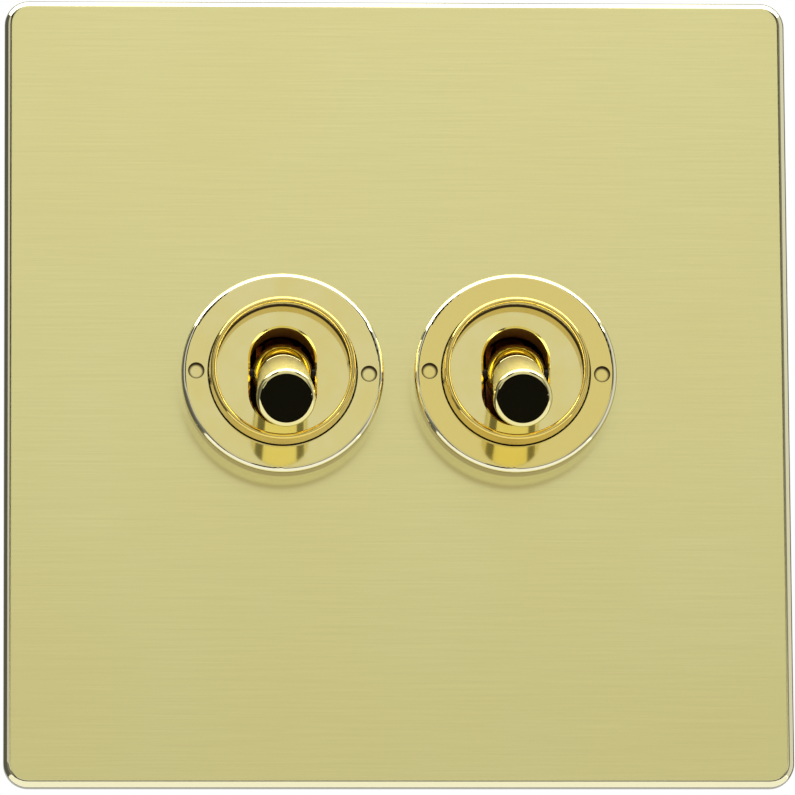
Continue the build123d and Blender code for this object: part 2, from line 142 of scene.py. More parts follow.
# %% [markdown]
# ## Room and floor
#
# The background of the photograph is plain white. Mirror rays are kept out of the world, so the camera, the
# floor and the matt pieces all see the white room, while the metal sees black in the gaps between the panels.
# A light path node could choose between two colours, but this needs only one. The floor lies well below the
# switch, which hangs where the wall would hold it.


# %% One helper for every node
def add_node(tree, kind, inputs=None, **settings):
    """Adds a node, gives it its settings, and fills its inputs with values or links."""
    made = tree.nodes.new(kind)
    for name, value in settings.items():
        setattr(made, name, value)
    for socket, value in (inputs or {}).items():
        if isinstance(value, bpy.types.NodeSocket):
            tree.links.new(value, made.inputs[socket])
        else:
            made.inputs[socket].default_value = value
    return made


def colour(hex_code):
    """Turns an sRGB hex colour into the linear values that shaders use."""
    channels = [int(hex_code[i : i + 2], 16) / 255 for i in (1, 3, 5)]
    linear = [c / 12.92 if c <= 0.04045 else ((c + 0.055) / 1.055) ** 2.4 for c in channels]
    return (*linear, 1.0)


# %% White room
world = bpy.data.worlds.new("room")
world.use_nodes = True
world.cycles_visibility.glossy = False
bpy.context.scene.world = world
room = world.node_tree
room.nodes.clear()
white = add_node(room, "ShaderNodeBackground", {"Color": colour("#ffffff"), "Strength": 1.0})
add_node(room, "ShaderNodeOutputWorld", {"Surface": white.outputs[0]})
print("world:", world.name)

# %% Pale floor
floor_drop = 1.3
floor_half = 12.0
floor_roughness = 0.9
floor_shape = bmesh.new()
bmesh.ops.create_grid(floor_shape, x_segments=1, y_segments=1, size=floor_half,
                      matrix=Matrix.Translation((0, 0, -floor_drop)))
floor = bpy.data.objects.new("floor", bpy.data.meshes.new("floor"))
floor_shape.to_mesh(floor.data)
floor_shape.free()
floor.visible_glossy = False
floor_paint = bpy.data.materials.new("pale_matt_floor")
floor_paint.use_nodes = True
floor_shader = floor_paint.node_tree.nodes["Principled BSDF"]
floor_shader.inputs["Base Color"].default_value = colour("#f2f1ee")
floor_shader.inputs["Roughness"].default_value = floor_roughness
floor.data.materials.append(floor_paint)
bpy.context.scene.collection.objects.link(floor)
print("floor at", -floor_drop, "m")

# %% [markdown]
# ## Satin brass of the plate
#
# The plate is brass sheet, brushed across with a fine belt and lacquered, and its rounded edge is polished.
# The brushing leaves long shallow scratches, which soften the reflection and show as faint streaks. They
# could be an image, but a noise that is stretched along X has no seams and any sharpness. Real scratches are
# too fine to show here, so these are drawn coarser. The plate's own Y tells the brushed face from the
# polished edge, and the polished edge is painted paler, as a painted highlight.


# %% Start a material
def start_material(name):
    """Empty node material, with the switch's own coordinates in metres."""
    material = bpy.data.materials.new(name)
    material.use_nodes = True
    tree = material.node_tree
    tree.nodes.clear()
    place = add_node(tree, "ShaderNodeTexCoord").outputs["Object"]
    return material, tree, place


def finish_material(material, tree, **sockets):
    """Principled shader and output, with socket names in plain snake case."""
    names = {name.replace("_", " ").title(): value for name, value in sockets.items()}
    shader = add_node(tree, "ShaderNodeBsdfPrincipled", names)
    add_node(tree, "ShaderNodeOutputMaterial", {"Surface": shader.outputs[0]})
    print("material", material.name, "with", len(tree.nodes), "nodes")


# %% Brushed face, polished edge
brush_spacing = 0.12 * MM
brush_length = 14.0 * MM
brush_depth = 0.0010 * MM
blotch_size = 22.0 * MM
brushed_roughness = 0.19
polished_roughness = 0.08
plate_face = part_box("front_plate")[0].y
brush_end = plate_face + 0.005 * MM
polish_start = plate_face + 0.03 * MM
satin, tree, place = start_material("satin_brushed_brass")
stretch = add_node(tree, "ShaderNodeMapping",
                   {"Vector": place, "Scale": (1 / brush_length, 1 / brush_spacing, 1 / brush_spacing)})
scratch = add_node(tree, "ShaderNodeTexNoise",
                   {"Vector": stretch.outputs[0], "Scale": 1.0, "Detail": 3.0, "Roughness": 0.75})
depth = add_node(tree, "ShaderNodeSeparateXYZ", {"Vector": place})
brushed = add_node(tree, "ShaderNodeMapRange",
                   {"Value": depth.outputs["Y"], "From Min": polish_start, "From Max": brush_end})
gloss = add_node(tree, "ShaderNodeMapRange",
                 {"Value": brushed.outputs[0], "To Min": polished_roughness, "To Max": brushed_roughness})
blotch = add_node(tree, "ShaderNodeTexNoise", {"Vector": place, "Scale": 1 / blotch_size, "Detail": 3.0})
lacquer = add_node(tree, "ShaderNodeMix",
                   {"Factor": blotch.outputs[0], "A": colour("#f1edad"), "B": colour("#ede397")},
                   data_type="RGBA")
dragged = add_node(tree, "ShaderNodeMix",
                   {"Factor": scratch.outputs[0], "A": lacquer.outputs[2], "B": colour("#dfd691")},
                   data_type="RGBA")
# The polished edge takes the pale #f5efc4: a painted highlight along the rounded edge.
tone = add_node(tree, "ShaderNodeMix",
                {"Factor": brushed.outputs[0], "A": colour("#f5efc4"), "B": dragged.outputs[2]},
                data_type="RGBA")
groove = add_node(tree, "ShaderNodeBump",
                  {"Height": scratch.outputs[0], "Strength": brushed.outputs[0], "Distance": brush_depth})
finish_material(satin, tree, base_color=tone.outputs[2], metallic=1.0, roughness=gloss.outputs[0],
                normal=groove.outputs[0], coat_weight=0.6, coat_roughness=0.12)

# %% [markdown]
# ## Polished brass of the toggles
#
# Ring nuts and bushes are turned from brass bar, buffed and lacquered. The eye sees sharp reflections with
# a trace of the lathe's rings. The buff can't reach into the slot, whose walls stay as milled and rougher,
# or into the spanner holes and the foot of the rim. The slot walls are also painted a deeper orange, as a
# painted reflection of the warm light bounced round the slot. The spanner holes and the foot of the rim are
# painted dark brown, as painted shade in these recesses. The rim that stands proud has kept a deeper gold,
# and so has the right ring nut, which comes from another bar. The edge of each ring nut is painted paler, as
# a painted highlight, and the front part of its side is painted darker, as painted shade. Both toggles share
# one material: the sign of X says which toggle a point belongs to, and so how far it is from that toggle's
# axis and from the nearer spanner hole.

# %% Distances from the axis and from the spanner holes
gang_half_pitch = (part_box("right_bush")[0].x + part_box("right_bush")[1].x) / 2
gang_rise = (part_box("right_bush")[0].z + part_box("right_bush")[1].z) / 2
hole_circle = 9.4 * MM
hole_turn = math.radians(-1)
polished, tree, place = start_material("polished_turned_brass")
axes = add_node(tree, "ShaderNodeSeparateXYZ", {"Vector": place})
side = add_node(tree, "ShaderNodeMath", {0: axes.outputs["X"]}, operation="SIGN")
across = add_node(tree, "ShaderNodeMath",
                  {0: side.outputs[0], 1: -gang_half_pitch, 2: axes.outputs["X"]}, operation="MULTIPLY_ADD")
up = add_node(tree, "ShaderNodeMath", {0: axes.outputs["Z"], 1: gang_rise}, operation="SUBTRACT")
flat = add_node(tree, "ShaderNodeCombineXYZ", {"X": across.outputs[0], "Z": up.outputs[0]})
radius = add_node(tree, "ShaderNodeVectorMath", {0: flat.outputs[0]}, operation="LENGTH")
sideways = add_node(tree, "ShaderNodeMath", {0: across.outputs[0]}, operation="ABSOLUTE")
beside = add_node(tree, "ShaderNodeMath", {0: sideways.outputs[0], 1: hole_circle}, operation="SUBTRACT")
level = add_node(tree, "ShaderNodeMath",
                 {0: across.outputs[0], 1: -math.tan(hole_turn), 2: up.outputs[0]}, operation="MULTIPLY_ADD")
around = add_node(tree, "ShaderNodeCombineXYZ", {"X": beside.outputs[0], "Z": level.outputs[0]})
hole = add_node(tree, "ShaderNodeVectorMath", {0: around.outputs[0]}, operation="LENGTH")
print("toggle axes at", round(gang_half_pitch / MM, 2), "mm from the middle")

# %% Milled slot
ring_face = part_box("right_ring_nut")[0].y
slot_front = ring_face + 0.45 * MM
slot_fade = 0.2 * MM
bore_radius = 6.4 * MM
deep = add_node(tree, "ShaderNodeMapRange",
                {"Value": axes.outputs["Y"], "From Min": slot_front, "From Max": slot_front + slot_fade})
inner = add_node(tree, "ShaderNodeMath", {0: radius.outputs["Value"], 1: bore_radius}, operation="LESS_THAN")
milled = add_node(tree, "ShaderNodeMath", {0: deep.outputs[0], 1: inner.outputs[0]}, operation="MULTIPLY")
print("slot walls start at y =", round(slot_front / MM, 2), "mm")

# %% Painted shade in the spanner holes
hole_radius = 0.9 * MM
hole_reach = 1.04 * hole_radius
hole_shade_start = 0.60 * hole_radius
hole_shade_end = 0.86 * hole_radius
sunk_start = ring_face + 0.02 * MM
sunk_end = ring_face + 0.08 * MM
# The walls of each spanner hole are masked for a dark tone: painted shade in the recess.
sunk = add_node(tree, "ShaderNodeMapRange",
                {"Value": axes.outputs["Y"], "From Min": sunk_start, "From Max": sunk_end})
corner = add_node(tree, "ShaderNodeMapRange",
                  {"Value": hole.outputs["Value"], "From Min": hole_shade_start, "From Max": hole_shade_end})
within = add_node(tree, "ShaderNodeMath", {0: hole.outputs["Value"], 1: hole_reach}, operation="LESS_THAN")
held = add_node(tree, "ShaderNodeMath", {0: sunk.outputs[0], 1: corner.outputs[0]}, operation="MULTIPLY")
hole_shade = add_node(tree, "ShaderNodeMath", {0: held.outputs[0], 1: within.outputs[0]}, operation="MULTIPLY")
print("spanner holes", round(2 * hole_radius / MM, 2), "mm wide")

# %% Painted shade at the foot of the rim
rim_bore = 7.48 * MM
line_start = rim_bore - 0.20 * MM
line_end = rim_bore - 0.14 * MM
line_reach = rim_bore + 0.1 * MM
foot_start = ring_face - 0.25 * MM
foot_end = ring_face - 0.05 * MM
# A thin ring at the foot of the rim is masked for a dark tone: painted shade in the corner.
at_rim = add_node(tree, "ShaderNodeMapRange",
                  {"Value": radius.outputs["Value"], "From Min": line_start, "From Max": line_end})
in_rim = add_node(tree, "ShaderNodeMath", {0: radius.outputs["Value"], 1: line_reach}, operation="LESS_THAN")
foot = add_node(tree, "ShaderNodeMapRange",
                {"Value": axes.outputs["Y"], "From Min": foot_start, "From Max": foot_end})
beside_rim = add_node(tree, "ShaderNodeMath",
                      {0: at_rim.outputs[0], 1: in_rim.outputs[0]}, operation="MULTIPLY")
rim_foot_shade = add_node(tree, "ShaderNodeMath",
                    {0: beside_rim.outputs[0], 1: foot.outputs[0]}, operation="MULTIPLY")
recess_shade = add_node(tree, "ShaderNodeMath",
                    {0: hole_shade.outputs[0], 1: rim_foot_shade.outputs[0]}, operation="MAXIMUM")
print("rim bore", round(2 * rim_bore / MM, 2), "mm wide")

# %% Turned and buffed
turning_pitch = 0.22 * MM
turning_depth = 0.0004 * MM
haze_size = 3.0 * MM
milled_roughness = 0.5
ring_place = add_node(tree, "ShaderNodeCombineXYZ", {"X": radius.outputs["Value"], "Y": axes.outputs["Y"]})
rings = add_node(tree, "ShaderNodeTexNoise",
                 {"Vector": ring_place.outputs[0], "Scale": 1 / turning_pitch, "Detail": 1.0})
groove = add_node(tree, "ShaderNodeBump",
                  {"Height": rings.outputs[0], "Strength": 0.25, "Distance": turning_depth})
haze = add_node(tree, "ShaderNodeTexNoise", {"Vector": place, "Scale": 1 / haze_size, "Detail": 2.0})
buffed = add_node(tree, "ShaderNodeMapRange", {"Value": haze.outputs[0], "To Min": 0.05, "To Max": 0.10})
gloss = add_node(tree, "ShaderNodeMath",
                 {0: milled.outputs[0], 1: milled_roughness, 2: buffed.outputs[0]}, operation="MULTIPLY_ADD")
clean = add_node(tree, "ShaderNodeMix",
                 {"Factor": haze.outputs[0], "A": colour("#ece3a3"), "B": colour("#e8d67e")},
                 data_type="RGBA")
print("lathe rings", round(turning_pitch / MM, 2), "mm apart")

# %% Deeper gold
nut_bore = 8.15 * MM
proud_start = ring_face - 0.1 * MM
proud_end = ring_face - 0.3 * MM
nut = add_node(tree, "ShaderNodeMath", {0: radius.outputs["Value"], 1: nut_bore}, operation="GREATER_THAN")
right_nut = add_node(tree, "ShaderNodeMath", {0: side.outputs[0], 1: nut.outputs[0]}, operation="MULTIPLY",
                     use_clamp=True)
batch = add_node(tree, "ShaderNodeMix",
                 {"Factor": right_nut.outputs[0], "A": clean.outputs[2], "B": colour("#ead77e")},
                 data_type="RGBA")
proud = add_node(tree, "ShaderNodeMapRange",
                 {"Value": axes.outputs["Y"], "From Min": proud_start, "From Max": proud_end})
golden = add_node(tree, "ShaderNodeMix",
                  {"Factor": proud.outputs[0], "A": batch.outputs[2], "B": colour("#ecd272")},
                  data_type="RGBA")
# The milled slot walls are painted a deeper orange: a painted reflection of warm light bounced in the slot.
# Their higher roughness is real.
slot_bounce_tint = add_node(tree, "ShaderNodeMix",
                   {"Factor": milled.outputs[0], "A": golden.outputs[2], "B": colour("#e8b860")},
                   data_type="RGBA")
print("rim stands proud of y =", round(proud_start / MM, 2), "mm")

# %% Painted highlight on the edge, painted shade on the side
ring_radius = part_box("right_ring_nut")[1].x - gang_half_pitch
pale_start = ring_radius - 0.50 * MM
pale_end = ring_radius - 0.35 * MM
side_start = ring_radius - 0.05 * MM
side_end = ring_radius - 0.01 * MM
side_shade_full = ring_face + 2.4 * MM
clear_start = ring_face + 3.2 * MM
# The outer edge of each ring nut is painted pale #f6f1cf: a painted highlight.
edge = add_node(tree, "ShaderNodeMapRange",
                {"Value": radius.outputs["Value"], "From Min": pale_start, "From Max": pale_end})
edge_highlight = add_node(tree, "ShaderNodeMix",
                  {"Factor": edge.outputs[0], "A": slot_bounce_tint.outputs[2], "B": colour("#f6f1cf")},
                  data_type="RGBA")
# The front part of each ring nut's side is painted darker #9f864f: painted shade.
wall = add_node(tree, "ShaderNodeMapRange",
                {"Value": radius.outputs["Value"], "From Min": side_start, "From Max": side_end})
shallow = add_node(tree, "ShaderNodeMapRange",
                   {"Value": axes.outputs["Y"], "From Min": clear_start, "From Max": side_shade_full})
side_shade_band = add_node(tree, "ShaderNodeMath", {0: wall.outputs[0], 1: shallow.outputs[0]}, operation="MULTIPLY")
side_shade = add_node(tree, "ShaderNodeMix",
                  {"Factor": side_shade_band.outputs[0], "A": edge_highlight.outputs[2], "B": colour("#9f864f")},
                  data_type="RGBA")
# The recess masks take the dark brown #4a3a16: painted shade in the spanner holes and at the foot of the rim.
tone = add_node(tree, "ShaderNodeMix",
                {"Factor": recess_shade.outputs[0], "A": side_shade.outputs[2], "B": colour("#4a3a16")},
                data_type="RGBA")
finish_material(polished, tree, base_color=tone.outputs[2], metallic=1.0, roughness=gloss.outputs[0],
                normal=groove.outputs[0], coat_weight=0.5, coat_roughness=0.05)

# %% [markdown]
# ## Handled brass of the dollies
#
# The dollies are polished too, but fingers push on their upper side and wear it to a soft satin, which
# catches the light from above. A mapping turns the switch's coordinates into those of the lever: its Y runs
# along the dolly and its Z towards the worn side.

# %% Worn where fingers push
lever_tilt = math.radians(21)
pin_low, pin_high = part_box("left_pivot_pin")
pin_place = (0, (pin_low.y + pin_high.y) / 2, (pin_low.z + pin_high.z) / 2)
wear_start = -4.3 * MM
wear_full = wear_start - 0.3 * MM
wear_end = -14.9 * MM
wear_fading = wear_end + 0.4 * MM
flank_start = 0.2 * MM
flank_end = 1.6 * MM
smear_size = 2.0 * MM
worn_roughness = 0.34
dolly_brass, tree, place = start_material("finger_worn_brass")
lever = add_node(tree, "ShaderNodeMapping",
                 {"Vector": place, "Location": pin_place, "Rotation": (lever_tilt, 0, 0)},
                 vector_type="TEXTURE")
along = add_node(tree, "ShaderNodeSeparateXYZ", {"Vector": lever.outputs[0]})
upper = add_node(tree, "ShaderNodeMapRange",
                 {"Value": along.outputs["Z"], "From Min": flank_start, "From Max": flank_end})
outer = add_node(tree, "ShaderNodeMapRange",
                 {"Value": along.outputs["Y"], "From Min": wear_start, "From Max": wear_full})
shank = add_node(tree, "ShaderNodeMapRange",
                 {"Value": along.outputs["Y"], "From Min": wear_end, "From Max": wear_fading})
rubbed = add_node(tree, "ShaderNodeMath", {0: outer.outputs[0], 1: shank.outputs[0]}, operation="MULTIPLY")
worn = add_node(tree, "ShaderNodeMath", {0: upper.outputs[0], 1: rubbed.outputs[0]}, operation="MULTIPLY")
smear = add_node(tree, "ShaderNodeTexNoise",
                 {"Vector": lever.outputs[0], "Scale": 1 / smear_size, "Detail": 2.0})
buffed = add_node(tree, "ShaderNodeMapRange", {"Value": smear.outputs[0], "To Min": 0.03, "To Max": 0.06})
gloss = add_node(tree, "ShaderNodeMath",
                 {0: worn.outputs[0], 1: worn_roughness, 2: buffed.outputs[0]}, operation="MULTIPLY_ADD")
tone = add_node(tree, "ShaderNodeMix",
                {"Factor": smear.outputs[0], "A": colour("#f3ebb0"), "B": colour("#efe298")},
                data_type="RGBA")
finish_material(dolly_brass, tree, base_color=tone.outputs[2], metallic=1.0, roughness=gloss.outputs[0])

# %% [markdown]
# ## Brass of the terminals
#
# The terminals are sawn from drawn brass bar and left as they come from the machine. Drawing leaves fine
# lines along the bar, and handling leaves faint brown stains a few millimetres wide. Painted stains would do
# for one block, but a noise in the switch's own coordinates makes every block a little different.

# %% Drawn bar
draw_spacing = 0.12 * MM
draw_length = 4.0 * MM
draw_depth = 0.003 * MM
stain_size = 2.5 * MM
bar_brass, tree, place = start_material("drawn_bar_brass")
stretch = add_node(tree, "ShaderNodeMapping",
                   {"Vector": place, "Scale": (1 / draw_spacing, 1 / draw_length, 1 / draw_spacing)})
lines = add_node(tree, "ShaderNodeTexNoise", {"Vector": stretch.outputs[0], "Scale": 1.0, "Detail": 2.0})
stain = add_node(tree, "ShaderNodeTexNoise", {"Vector": place, "Scale": 1 / stain_size, "Detail": 3.0})
tone = add_node(tree, "ShaderNodeMix",
                {"Factor": stain.outputs[0], "A": colour("#dfc272"), "B": colour("#bd9146")},
                data_type="RGBA")
gloss = add_node(tree, "ShaderNodeMapRange", {"Value": lines.outputs[0], "To Min": 0.22, "To Max": 0.40})
groove = add_node(tree, "ShaderNodeBump",
                  {"Height": lines.outputs[0], "Strength": 0.5, "Distance": draw_depth})
finish_material(bar_brass, tree, base_color=tone.outputs[2], metallic=1.0, roughness=gloss.outputs[0],
                normal=groove.outputs[0])

# %% [markdown]
# ## Zinc plated steel
#
# Yoke, brackets, nuts and screws are pressed or turned from steel and zinc plated against rust. The plating
# is slightly cloudy, and its clear passivation shifts between blue and straw in patches. One noise at the
# size of the patches gives the tint, and a finer one gives the cloudiness.

# %% Plated with zinc
tint_size = 3.5 * MM
cloud_size = 0.4 * MM
cloud_depth = 0.003 * MM
zinc, tree, place = start_material("zinc_plated_steel")
tint = add_node(tree, "ShaderNodeTexNoise", {"Vector": place, "Scale": 1 / tint_size, "Detail": 1.0})
cloud = add_node(tree, "ShaderNodeTexNoise", {"Vector": place, "Scale": 1 / cloud_size, "Detail": 2.0})
tone = add_node(tree, "ShaderNodeMix",
                {"Factor": tint.outputs[0], "A": colour("#b4bdc9"), "B": colour("#d3cdb8")},
                data_type="RGBA")
gloss = add_node(tree, "ShaderNodeMapRange", {"Value": cloud.outputs[0], "To Min": 0.22, "To Max": 0.42})
dimple = add_node(tree, "ShaderNodeBump",
                  {"Height": cloud.outputs[0], "Strength": 0.3, "Distance": cloud_depth})
finish_material(zinc, tree, base_color=tone.outputs[2], metallic=1.0, roughness=gloss.outputs[0],
                normal=dimple.outputs[0])

# %% [markdown]
# ## Bright spring steel
#
# The plunger springs and lock washers are spring steel, bright from drawing and with a thin film of oil. The
# film gathers in darker streaks, which a noise stretched along the switch's depth gives.

# %% Bright and oiled
streak_width = 0.5 * MM
streak_length = 2.5 * MM
bright_steel, tree, place = start_material("oiled_spring_steel")
stretch = add_node(tree, "ShaderNodeMapping",
                   {"Vector": place, "Scale": (1 / streak_width, 1 / streak_length, 1 / streak_width)})
film = add_node(tree, "ShaderNodeTexNoise", {"Vector": stretch.outputs[0], "Scale": 1.0, "Detail": 2.0})
tone = add_node(tree, "ShaderNodeMix",
                {"Factor": film.outputs[0], "A": colour("#d4d4d6"), "B": colour("#96979c")},
                data_type="RGBA")
gloss = add_node(tree, "ShaderNodeMapRange", {"Value": film.outputs[0], "To Min": 0.30, "To Max": 0.14})
finish_material(bright_steel, tree, base_color=tone.outputs[2], metallic=1.0, roughness=gloss.outputs[0])

# %% [markdown]
# ## Blued steel of the pivot pins
#
# The pins that the dollies turn on are hardened steel, left blue black from the furnace, so they vanish in
# the slot. The oxide is uneven, from blue to brown, in patches about a millimetre wide.

# %% Blued
oxide_size = 1.0 * MM
blued_steel, tree, place = start_material("blued_steel")
oxide = add_node(tree, "ShaderNodeTexNoise", {"Vector": place, "Scale": 1 / oxide_size, "Detail": 2.0})
tone = add_node(tree, "ShaderNodeMix",
                {"Factor": oxide.outputs[0], "A": colour("#20222a"), "B": colour("#352b24")},
                data_type="RGBA")
gloss = add_node(tree, "ShaderNodeMapRange", {"Value": oxide.outputs[0], "To Min": 0.28, "To Max": 0.45})
finish_material(blued_steel, tree, base_color=tone.outputs[2], metallic=1.0, roughness=gloss.outputs[0])

# %% [markdown]
# ## Black moulding
#
# The switch cases and the frame behind the plate are black phenolic, pressed in a hot mould. The filler
# leaves cloudy flow marks some millimetres across, and the mould's texture breaks up the shine. Both could be
# sculpted, but they are far too shallow for that: colour, roughness and a bump are enough.

# %% Pressed phenolic
flow_size = 5.0 * MM
grain_size = 0.3 * MM
grain_depth = 0.010 * MM
moulding, tree, place = start_material("black_phenolic_moulding")
flow = add_node(tree, "ShaderNodeTexNoise",
                {"Vector": place, "Scale": 1 / flow_size, "Detail": 3.0, "Distortion": 1.2})
grain = add_node(tree, "ShaderNodeTexNoise", {"Vector": place, "Scale": 1 / grain_size, "Detail": 2.0})
tone = add_node(tree, "ShaderNodeMix",
                {"Factor": flow.outputs[0], "A": colour("#141416"), "B": colour("#29272a")},
                data_type="RGBA")
gloss = add_node(tree, "ShaderNodeMapRange", {"Value": grain.outputs[0], "To Min": 0.34, "To Max": 0.56})
texture = add_node(tree, "ShaderNodeBump",
                   {"Height": grain.outputs[0], "Strength": 0.4, "Distance": grain_depth})
finish_material(moulding, tree, base_color=tone.outputs[2], roughness=gloss.outputs[0],
                normal=texture.outputs[0])

# %% [markdown]
# ## Nylon of the plungers
#
# The plungers are moulded in natural nylon, because it slides on brass without grease. Light goes a little
# way into it, so its edges look soft and milky. Subsurface scattering gives that, half a millimetre deep.

# %% Milky nylon
nylon_depth = 0.5 * MM
milk_size = 1.5 * MM
nylon, tree, place = start_material("natural_nylon")
milk = add_node(tree, "ShaderNodeTexNoise", {"Vector": place, "Scale": 1 / milk_size, "Detail": 2.0})
tone = add_node(tree, "ShaderNodeMix",
                {"Factor": milk.outputs[0], "A": colour("#f1ecdc"), "B": colour("#ddd3ba")},
                data_type="RGBA")
gloss = add_node(tree, "ShaderNodeMapRange", {"Value": milk.outputs[0], "To Min": 0.32, "To Max": 0.48})
finish_material(nylon, tree, base_color=tone.outputs[2], roughness=gloss.outputs[0],
                subsurface_weight=0.3, subsurface_scale=nylon_depth)

# %% [markdown]
# ## Contacts
#
# The rocking contact is pressed from rolled phosphor bronze, and the contact buttons are silver. Rolling
# leaves lines along the strip, and silver darkens in small patches where it arcs. The first needs a stretched
# noise, the second a round one.

# %% Rolled bronze
roll_spacing = 0.10 * MM
roll_length = 3.0 * MM
bronze, tree, place = start_material("rolled_phosphor_bronze")
stretch = add_node(tree, "ShaderNodeMapping",
                   {"Vector": place, "Scale": (1 / roll_spacing, 1 / roll_spacing, 1 / roll_length)})
lines = add_node(tree, "ShaderNodeTexNoise", {"Vector": stretch.outputs[0], "Scale": 1.0, "Detail": 2.0})
tone = add_node(tree, "ShaderNodeMix",
                {"Factor": lines.outputs[0], "A": colour("#d6986a"), "B": colour("#ab6f47")},
                data_type="RGBA")
gloss = add_node(tree, "ShaderNodeMapRange", {"Value": lines.outputs[0], "To Min": 0.22, "To Max": 0.36})
finish_material(bronze, tree, base_color=tone.outputs[2], metallic=1.0, roughness=gloss.outputs[0])

# %% Silver that has arced
arc_size = 0.7 * MM
silver, tree, place = start_material("arced_contact_silver")
tarnish = add_node(tree, "ShaderNodeTexNoise", {"Vector": place, "Scale": 1 / arc_size, "Detail": 3.0})
tone = add_node(tree, "ShaderNodeMix",
                {"Factor": tarnish.outputs[0], "A": colour("#f0eee8"), "B": colour("#a39a86")},
                data_type="RGBA")
gloss = add_node(tree, "ShaderNodeMapRange", {"Value": tarnish.outputs[0], "To Min": 0.18, "To Max": 0.45})
finish_material(silver, tree, base_color=tone.outputs[2], metallic=1.0, roughness=gloss.outputs[0])

# %% [markdown]
# ## Give every solid its finish
#
# A solid that keeps its own shape only needs a new material in its slot. The record says which slot each
# node belongs to, so one table of slots dresses them all. Only the dollies have a finish of their own.

# %% Dress the solids
slot_finish = {
    "satin_brass": satin, "polished_brass": polished, "terminal_brass": bar_brass,
    "zinc_steel": zinc, "bright_steel": bright_steel, "blued_steel": blued_steel,
    "dark_moulding": moulding, "nylon": nylon, "copper_alloy": bronze, "contact_silver": silver,
}
for row in frame["record"]["subparts"]:
    solid = frame["nodes"][row["node"]]
    solid.data.materials.clear()
    solid.data.materials.append(slot_finish[row["material_slot"]])
for dolly in ("left_dolly", "right_dolly"):
    frame["nodes"][dolly].data.materials[0] = dolly_brass
print("finishes:", sorted(slot_finish))

# %% [markdown]
# ## Screws with real threads
#
# The solids stand for the screws with plain shanks. A real one has a slot for the driver and a thread that
# winds down its shank. A screw modifier could wind the thread, but the spin operator does it too: a profile
# one pitch high is turned round the axis and moved along it a little at each step. Two cuts trim its ends.


# %% Slotted head
def slotted_head(shape, radius, height, slot_width, slot_depth, edge_round):
    """Screw head that stands up from the XY plane, with a driver slot along Y."""
    head_segments = 48
    bmesh.ops.create_circle(shape, cap_ends=True, segments=head_segments, radius=radius)
    for side in (-1, 1):
        bmesh.ops.bisect_plane(shape, geom=shape.verts[:] + shape.edges[:] + shape.faces[:],
                               plane_co=(side * slot_width / 2, 0, 0), plane_no=(1, 0, 0))
    slab = bmesh.ops.extrude_face_region(shape, geom=shape.faces[:])["geom"]
    bmesh.ops.translate(shape, vec=(0, 0, height - slot_depth),
                        verts=[item for item in slab if isinstance(item, bmesh.types.BMVert)])
    halves = [item for item in slab if isinstance(item, bmesh.types.BMFace)
              and abs(item.calc_center_median().x) > slot_width / 2]
    lips = bmesh.ops.extrude_face_region(shape, geom=halves)["geom"]
    bmesh.ops.translate(shape, vec=(0, 0, slot_depth),
                        verts=[item for item in lips if isinstance(item, bmesh.types.BMVert)])
    bmesh.ops.delete(shape, geom=halves, context="FACES")
    crown = [edge for edge in shape.edges
             if all(v.co.z > height - slot_depth / 2 and v.co.xy.length > 0.99 * radius for v in edge.verts)
             and max(abs(v.co.x) for v in edge.verts) > 0.51 * slot_width]
    bmesh.ops.bevel(shape, geom=crown, offset=edge_round, offset_type="OFFSET", segments=3, profile=0.5,
                    affect="EDGES", material=-1)


# %% Helical thread
def threaded_shank(shape, crest, root, pitch, top, reach):
    """Thread that winds down the Z axis from top to -reach, closed at both ends."""
    steps = 24
    turns = math.ceil((top + reach) / pitch) + 2
    # Each point has a radius and a drop, as a share of the pitch.
    outline = [(root, 0.0), (crest, 0.42), (crest, 0.58), (root, 1.0)]
    corners = [shape.verts.new((r, 0, top + pitch * (1 - drop))) for r, drop in outline]
    edges = [shape.edges.new(pair) for pair in zip(corners, corners[1:])]
    bmesh.ops.spin(shape, geom=corners + edges, cent=(0, 0, 0), axis=(0, 0, 1), angle=math.tau * turns,
                   dvec=(0, 0, -pitch / steps), steps=steps * turns)
    bmesh.ops.remove_doubles(shape, verts=shape.verts[:], dist=pitch / 200)
    for cut, away in ((top, 1), (-reach, -1)):
        bmesh.ops.bisect_plane(shape, geom=shape.verts[:] + shape.edges[:] + shape.faces[:],
                               plane_co=(0, 0, cut), plane_no=(0, 0, away), clear_outer=True)
    bmesh.ops.holes_fill(shape, edges=[edge for edge in shape.edges if edge.is_boundary], sides=0)


# %% One piece from several screws
def screw_piece(name, node, places, head, thread, waist=None):
    """Screws at several (seat, outward direction, turn) places, as one piece instead of a CAD node."""
    crease_angle = math.radians(30)
    mesh = bpy.data.meshes.new(name)
    whole = bmesh.new()
    for seat, outward, turn in places:
        for make, sizes in ((slotted_head, head), (threaded_shank, thread)):
            shape = bmesh.new()
            make(shape, **sizes)
            if waist and make is slotted_head:
                bmesh.ops.create_cone(shape, cap_ends=True, segments=32, radius1=waist["radius"],
                                      radius2=waist["radius"], depth=waist["length"],
                                      matrix=Matrix.Translation((0, 0, -waist["length"] / 2)))
            bmesh.ops.recalc_face_normals(shape, faces=shape.faces[:])
            facing = Vector(outward).to_track_quat("Z", "Y").to_matrix() @ Matrix.Rotation(turn, 3, "Z")
            bmesh.ops.transform(shape, matrix=Matrix.LocRotScale(seat, facing, None), verts=shape.verts[:])
            part = bpy.data.meshes.new("part")
            shape.to_mesh(part)
            shape.free()
            whole.from_mesh(part)
            bpy.data.meshes.remove(part)
    whole.to_mesh(mesh)
    open_edges = sum(not edge.is_manifold for edge in whole.edges)
    whole.free()
    mesh.shade_smooth()
    mesh.set_sharp_from_angle(angle=crease_angle)
    mesh.materials.append(zinc)
    piece = bpy.data.objects.new(name, mesh)
    bpy.context.scene.collection.objects.link(piece)
    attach(piece, "switch_body")
    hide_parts(node)
    print(name, "has", len(mesh.polygons), "faces and", open_edges, "open edges")


